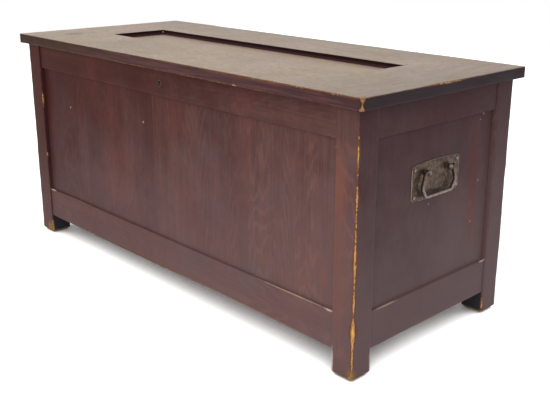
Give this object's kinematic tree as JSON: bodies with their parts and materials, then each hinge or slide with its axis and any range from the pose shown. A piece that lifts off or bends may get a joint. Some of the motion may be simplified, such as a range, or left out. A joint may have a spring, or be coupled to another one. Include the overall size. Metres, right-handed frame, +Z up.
{
  "type": "blanket chest",
  "caption": "Oak blanket chest: frame-and-panel case on post feet, hinged lid with a dropped centre panel, inset chest lock and a bail handle on each end.",
  "frame": {"origin": "on the floor, under the middle of the lid's outline", "axes": "+X along the chest's length to its right end as seen from the front, +Y from the front (keyhole side) to the back (hinge side), +Z up"},
  "size_m": [1.118, 0.479, 0.508],
  "materials": {
    "case_oak": "dark red-brown stained oak under old, slightly glossy varnish, worn pale at the arrises",
    "lid_oak": "the same stained oak, its top faded and dulled by use",
    "bottom_wood": "bare sawn softwood, darkened by age",
    "handle_iron": "beaten iron with a brown patina, brighter on its high spots",
    "hinge_steel": "aged rolled steel",
    "lock_steel": "aged sheet steel, dull",
    "escutcheon_brass": "tarnished grey-brown brass",
    "inner_steel": "dull steel nuts and washers"
  },
  "bodies": {
    "case": {"bottom_boards": "bottom_wood", "bottom_cleat_back": "bottom_wood", "bottom_cleat_front": "bottom_wood", "bottom_cleat_left": "bottom_wood", "bottom_cleat_right": "bottom_wood", "handle_left_nails": "handle_iron", "handle_left_nuts": "inner_steel", "handle_left_plate": "handle_iron", "handle_left_studs": "handle_iron", "handle_left_washers": "inner_steel", "handle_right_nails": "handle_iron", "handle_right_nuts": "inner_steel", "handle_right_plate": "handle_iron", "handle_right_studs": "handle_iron", "handle_right_washers": "inner_steel", "hinge_case_screws": "hinge_steel", "hinge_left_case_leaf": "hinge_steel", "hinge_left_pin": "hinge_steel", "hinge_right_case_leaf": "hinge_steel", "hinge_right_pin": "hinge_steel", "keyhole_escutcheon": "escutcheon_brass", "lock_box": "lock_steel", "lock_plate": "lock_steel", "lock_screws": "lock_steel", "panel_back": "case_oak", "panel_front": "case_oak", "panel_left": "case_oak", "panel_right": "case_oak", "post_back_left": "case_oak", "post_back_right": "case_oak", "post_front_left": "case_oak", "post_front_right": "case_oak", "rail_back_bottom": "case_oak", "rail_back_top": "case_oak", "rail_front_bottom": "case_oak", "rail_front_top": "case_oak", "rail_left_bottom": "case_oak", "rail_left_top": "case_oak", "rail_right_bottom": "case_oak", "rail_right_top": "case_oak"},
    "lid": {"hinge_left_lid_leaf": "hinge_steel", "hinge_lid_screws": "hinge_steel", "hinge_right_lid_leaf": "hinge_steel", "lid_link_plate": "lock_steel", "lid_link_screws": "lock_steel", "lid_panel": "lid_oak", "lid_rail_back": "lid_oak", "lid_rail_front": "lid_oak", "lid_stile_left": "lid_oak", "lid_stile_right": "lid_oak"},
    "left_bail": {"handle_left_bail": "handle_iron"},
    "right_bail": {"handle_right_bail": "handle_iron"},
    "bolt": {"lock_bolt": "lock_steel"}
  },
  "joints": [
    {"name": "lid_hinge", "type": "hinge", "parent": "case", "child": "lid", "pos_m": [0, 0.2263, 0.4821], "axis": [-1, 0, 0], "range_deg": [0, 105]},
    {"name": "left_bail_swing", "type": "hinge", "parent": "case", "child": "left_bail", "pos_m": [-0.541, 0, 0.344], "axis": [0, 1, 0], "range_deg": [-4, 178]},
    {"name": "right_bail_swing", "type": "hinge", "parent": "case", "child": "right_bail", "pos_m": [0.541, 0, 0.344], "axis": [0, -1, 0], "range_deg": [-4, 178]},
    {"name": "lock_bolt_slide", "type": "slide", "parent": "case", "child": "bolt", "axis": [1, 0, 0], "range_m": [0, 0.007]}
  ]
}
